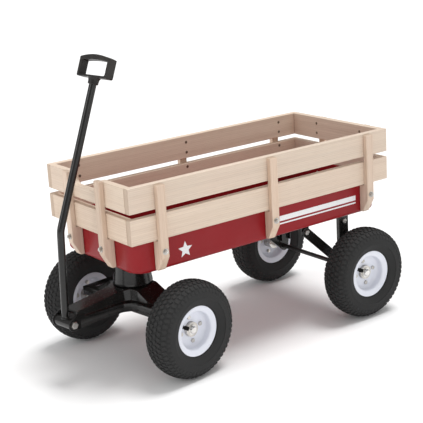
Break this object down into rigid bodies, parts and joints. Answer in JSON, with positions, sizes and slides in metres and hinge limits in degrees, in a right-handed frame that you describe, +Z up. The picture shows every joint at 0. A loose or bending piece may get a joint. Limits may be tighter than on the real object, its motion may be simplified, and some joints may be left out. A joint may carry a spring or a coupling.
{
  "type": "wagon with pull handle",
  "caption": "Four-wheeled pull wagon with a steel bed, slatted wooden sides, air tyres and a steered front axle with a tilting pull handle.",
  "frame": {"origin": "on the ground, midway along and across the whole wagon", "axes": "+Z up, the front of the wagon faces -Y, its left side is +X; at rest the front axle is turned 7.6 degrees"},
  "size_m": [0.5256, 1.0095, 0.8137],
  "materials": {
    "red_paint": "gloss red enamel",
    "black_paint": "gloss black powder coat",
    "white_paint": "gloss white powder coat",
    "pine": "clear-coated pale softwood",
    "tyre_rubber": "charcoal rubber",
    "black_plastic": "fine textured black",
    "zinc": "bright zinc plate",
    "dark_zinc": "dark plated screw heads",
    "axle_steel": "black axle bar"
  },
  "bodies": {
    "chassis": {"tray": "red_paint", "lower_board_left": "pine", "lower_board_right": "pine", "lower_board_front": "pine", "lower_board_rear": "pine", "upper_board_left": "pine", "upper_board_right": "pine", "upper_board_front": "pine", "upper_board_rear": "pine", "stake_left_1": "pine", "stake_left_2": "pine", "stake_left_3": "pine", "stake_right_1": "pine", "stake_right_2": "pine", "stake_right_3": "pine", "stake_front_left": "pine", "stake_front_right": "pine", "stake_rear_left": "pine", "stake_rear_right": "pine", "stake_bolts": "zinc", "board_screws": "dark_zinc", "bolster": "black_paint", "kingpin": "zinc", "kingpin_nut": "zinc", "rear_leg_left": "black_paint", "rear_leg_right": "black_paint", "rear_brace_left": "black_paint", "rear_brace_right": "black_paint", "frame_clips": "black_paint", "frame_bolts": "zinc", "rear_axle": "axle_steel", "rear_axle_fittings": "zinc"},
    "steering": {"yoke": "black_paint", "axle_hangers": "black_paint", "front_axle": "axle_steel", "front_axle_fittings": "zinc", "pivot_bolt": "zinc"},
    "handle": {"handle_tube": "black_paint", "pivot_sleeve": "black_paint", "grip": "black_plastic"},
    "front_left_wheel": {"front_left_tyre": "tyre_rubber", "front_left_rim_outer": "white_paint", "front_left_rim_inner": "white_paint", "front_left_hub": "zinc", "front_left_rim_bolts": "zinc"},
    "front_right_wheel": {"front_right_tyre": "tyre_rubber", "front_right_rim_outer": "white_paint", "front_right_rim_inner": "white_paint", "front_right_hub": "zinc", "front_right_rim_bolts": "zinc"},
    "rear_left_wheel": {"rear_left_tyre": "tyre_rubber", "rear_left_rim_outer": "white_paint", "rear_left_rim_inner": "white_paint", "rear_left_hub": "zinc", "rear_left_rim_bolts": "zinc"},
    "rear_right_wheel": {"rear_right_tyre": "tyre_rubber", "rear_right_rim_outer": "white_paint", "rear_right_rim_inner": "white_paint", "rear_right_hub": "zinc", "rear_right_rim_bolts": "zinc"}
  },
  "joints": [
    {"name": "steering_turn", "type": "hinge", "parent": "chassis", "child": "steering", "pos_m": [0, -0.2603, 0.209], "axis": [0, 0, 1], "range_deg": [-39.6, 24.4]},
    {"name": "handle_tip", "type": "hinge", "parent": "steering", "child": "handle", "pos_m": [0.02989, -0.48431, 0.165], "axis": [0.9912, 0.1323, 0], "range_deg": [0, 115]},
    {"name": "front_left_spin", "type": "hinge", "parent": "steering", "child": "front_left_wheel", "pos_m": [0.20816, -0.23253, 0.127], "axis": [0.9912, 0.1323, 0], "continuous": true},
    {"name": "front_right_spin", "type": "hinge", "parent": "steering", "child": "front_right_wheel", "pos_m": [-0.20816, -0.28807, 0.127], "axis": [0.9912, 0.1323, 0], "continuous": true},
    {"name": "rear_left_spin", "type": "hinge", "parent": "chassis", "child": "rear_left_wheel", "pos_m": [0.21, 0.3687, 0.127], "axis": [1, 0, 0], "continuous": true},
    {"name": "rear_right_spin", "type": "hinge", "parent": "chassis", "child": "rear_right_wheel", "pos_m": [-0.21, 0.3687, 0.127], "axis": [1, 0, 0], "continuous": true}
  ]
}
